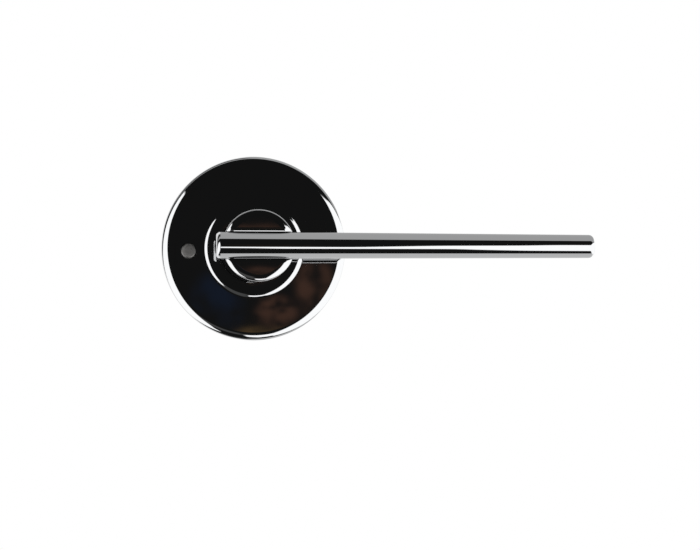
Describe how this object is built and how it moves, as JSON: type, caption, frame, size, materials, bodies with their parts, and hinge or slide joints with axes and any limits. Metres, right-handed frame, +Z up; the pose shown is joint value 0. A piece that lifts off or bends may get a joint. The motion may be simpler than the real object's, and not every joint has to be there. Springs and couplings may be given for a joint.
{
  "type": "door lever handle",
  "caption": "Polished straight round-bar lever on a cylindrical neck and a low round rose with a raised centre and a small privacy push-button, with spindle and through bolts behind.",
  "frame": {"origin": "on the spindle axis, at the face of the door that the rose is screwed to", "axes": "+X along the lever towards its free end, +Z up, -Y out of the door into the room; the spindle runs along +Y into the door"},
  "size_m": [0.1582, 0.1169, 0.07],
  "materials": {
    "polished_chrome": "mirror-polished chrome plate",
    "satin_nickel": "fine satin nickel",
    "zinc_casting": "dull grey as-cast zinc",
    "zinc_plated_steel": "bright zinc plate",
    "spring_steel": "oiled drawn spring steel",
    "black_steel": "black oxide",
    "acetal": "natural acetal, smooth"
  },
  "bodies": {
    "rose": {"rose_cover": "polished_chrome", "neck_bush": "polished_chrome", "mounting_plate": "zinc_casting", "plate_bush": "acetal", "cover_clip_1": "spring_steel", "cover_clip_2": "spring_steel", "cover_clip_3": "spring_steel", "return_spring": "spring_steel", "fixing_bolt_upper": "zinc_plated_steel", "fixing_bolt_lower": "zinc_plated_steel", "button_guide": "acetal", "button_spring": "spring_steel"},
    "lever": {"lever_neck": "polished_chrome", "lever_bar": "polished_chrome", "bar_screw": "black_steel", "spindle": "zinc_plated_steel", "spindle_grub_screw": "black_steel", "spring_driver": "zinc_plated_steel", "circlip": "spring_steel", "wave_washer": "spring_steel"},
    "privacy": {"privacy_button": "satin_nickel", "privacy_pin": "zinc_plated_steel"}
  },
  "joints": [
    {"name": "lever_turn", "type": "hinge", "parent": "rose", "child": "lever", "pos_m": [0, 0, 0], "axis": [0, 1, 0], "range_deg": [0, 50], "stiffness_Nm_per_rad": 0.8, "springref_deg": -45.84, "deforming": ["return_spring"]},
    {"name": "button_push", "type": "slide", "parent": "rose", "child": "privacy", "axis": [0, 1, 0], "range_m": [0, 0.0025], "stiffness_N_per_m": 300, "springref_m": -0.005, "deforming": ["button_spring"]}
  ]
}
